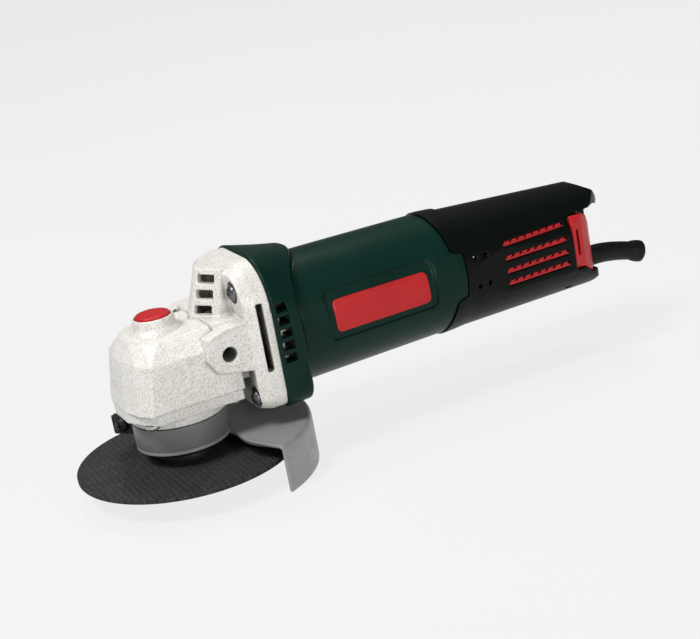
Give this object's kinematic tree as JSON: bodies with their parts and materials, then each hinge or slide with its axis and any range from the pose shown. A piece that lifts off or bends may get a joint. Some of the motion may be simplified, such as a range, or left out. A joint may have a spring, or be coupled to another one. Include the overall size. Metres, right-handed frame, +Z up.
{
  "type": "angle grinder",
  "caption": "Mains angle grinder for 100 mm discs: bevel gear head with spindle lock, turning wheel guard, universal motor in a barrel housing, lever switch under its tail.",
  "frame": {"origin": "middle of the lock nut's outer face, on the spindle axis", "axes": "+Z up along the spindle from the disc to the lock button; +X back along the motor to the cord boot; +Y to the tool's right as seen by its user"},
  "size_m": [0.2993, 0.1083, 0.0958],
  "materials": {
    "cast_aluminium": "speckled as-cast sand finish",
    "bright_steel": "bright zinc",
    "dark_steel": "black oxide",
    "gear_steel": "ground and oiled",
    "black_steel": "black phosphate",
    "bearing_steel": "ground",
    "bronze": "dull",
    "copper_bars": "turned copper",
    "copper_wire": "varnished winding",
    "laminations": "varnished sheet steel",
    "green_plastic": "semi-gloss glass-filled nylon",
    "black_plastic": "satin moulded nylon",
    "dark_plastic": "moulded nylon",
    "red_plastic": "moulded nylon",
    "fan_plastic": "natural nylon",
    "yellow_plastic": "boxed film capacitor",
    "brown_plastic": "wire insulation",
    "black_rubber": "moulded rubber",
    "carbon": "pressed graphite",
    "abrasive_disc": "resin bonded grit with glass net",
    "guard_paint": "satin grey paint",
    "band_paint": "satin grey paint"
  },
  "bodies": {
    "housing": {"gear_housing": "cast_aluminium", "bearing_box": "cast_aluminium", "bearing_box_screws": "bright_steel", "flange_screws": "dark_steel", "spindle_bearing_outer": "bearing_steel", "bearing_circlip": "dark_steel", "spindle_bush": "bronze", "front_bearing_outer": "bearing_steel", "front_bearing_plate": "bright_steel", "front_plate_screws": "dark_steel", "fan_baffle": "dark_plastic", "motor_housing": "green_plastic", "stator_core": "laminations", "field_coils": "copper_wire", "rear_bearing_outer": "bearing_steel", "rear_bearing_sleeve": "black_rubber", "brush_holders": "bronze", "carbon_brushes": "carbon", "brush_springs": "bright_steel", "label_plates": "red_plastic", "handle_shell_left": "black_plastic", "handle_shell_right": "black_plastic", "handle_screws": "dark_steel", "vent_insert": "red_plastic", "rear_cap": "red_plastic", "switch_body": "dark_plastic", "capacitor": "yellow_plastic", "cord_clamp": "dark_plastic", "cord_clamp_screws": "bright_steel", "cord_boot": "black_rubber", "lead_wires": "brown_plastic", "lock_spring": "bright_steel"},
    "lock_button": {"lock_cap": "red_plastic", "lock_pin": "bright_steel"},
    "spindle_group": {"spindle": "bright_steel", "spindle_gear": "gear_steel", "gear_key": "dark_steel", "gear_ring": "dark_steel", "spindle_bearing_inner": "bearing_steel", "dust_ring": "dark_steel", "inner_flange": "black_steel", "cutting_disc": "abrasive_disc", "lock_nut": "black_steel"},
    "rotor": {"armature_shaft": "bright_steel", "pinion": "gear_steel", "pinion_nut": "bright_steel", "front_bearing_inner": "bearing_steel", "rear_bearing_inner": "bearing_steel", "armature_core": "laminations", "armature_windings": "copper_wire", "commutator": "copper_bars", "fan": "fan_plastic"},
    "guard": {"wheel_guard": "guard_paint", "guard_band": "band_paint", "clamp_screw": "black_steel", "clamp_nut": "dark_steel"},
    "switch": {"switch_lever": "dark_plastic"}
  },
  "joints": [
    {"name": "spindle_spin", "type": "hinge", "parent": "housing", "child": "spindle_group", "pos_m": [0, 0, 0], "axis": [0, 0, 1], "continuous": true},
    {"name": "rotor_spin", "type": "hinge", "parent": "housing", "child": "rotor", "pos_m": [0, 0, 0.053], "axis": [1, 0, 0], "continuous": true},
    {"name": "lock_press", "type": "slide", "parent": "housing", "child": "lock_button", "axis": [0, 0, -1], "range_m": [0, 0.0032], "stiffness_N_per_m": 1200, "springref_m": -0.005, "deforming": ["lock_spring"]},
    {"name": "guard_turn", "type": "hinge", "parent": "housing", "child": "guard", "pos_m": [0, 0, 0.02], "axis": [0, 0, 1], "range_deg": [-90, 180]},
    {"name": "switch_tilt", "type": "hinge", "parent": "housing", "child": "switch", "pos_m": [0.196, 0, 0.059], "axis": [0, -1, 0], "range_deg": [0, 12]}
  ],
  "couplings": [
    {"joint": "rotor_spin", "follows": "spindle_spin", "ratio": 3.3636}
  ]
}
